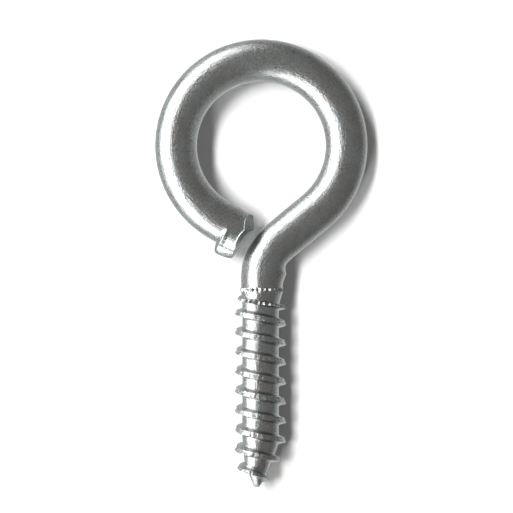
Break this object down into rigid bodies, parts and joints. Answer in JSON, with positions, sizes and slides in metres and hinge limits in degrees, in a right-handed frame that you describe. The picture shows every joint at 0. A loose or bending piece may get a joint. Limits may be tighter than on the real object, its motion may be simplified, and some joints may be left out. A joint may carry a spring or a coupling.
{
  "type": "screw eye",
  "caption": "Zinc-plated steel wire screw eye: a nearly closed round eye on a short bent neck, with a coarse wood-screw shank and a gimlet point.",
  "frame": {"origin": "on the shank's axis at the top end of the thread, where the screw eye meets the surface it is driven into", "axes": "+Y runs up the shank from the thread to the eye, +X is across the eye towards the side the neck joins it, +Z is square to the eye and is up when the screw eye lies flat"},
  "size_m": [0.0264, 0.0557, 0.0066],
  "materials": {
    "zinc_plated_steel": "bright bluish-white zinc plating on drawn steel wire, slightly mottled, glossy"
  },
  "bodies": {
    "root": {"eye": "zinc_plated_steel", "neck": "zinc_plated_steel", "threaded_shank": "zinc_plated_steel", "screw_point": "zinc_plated_steel"}
  },
  "joints": []
}
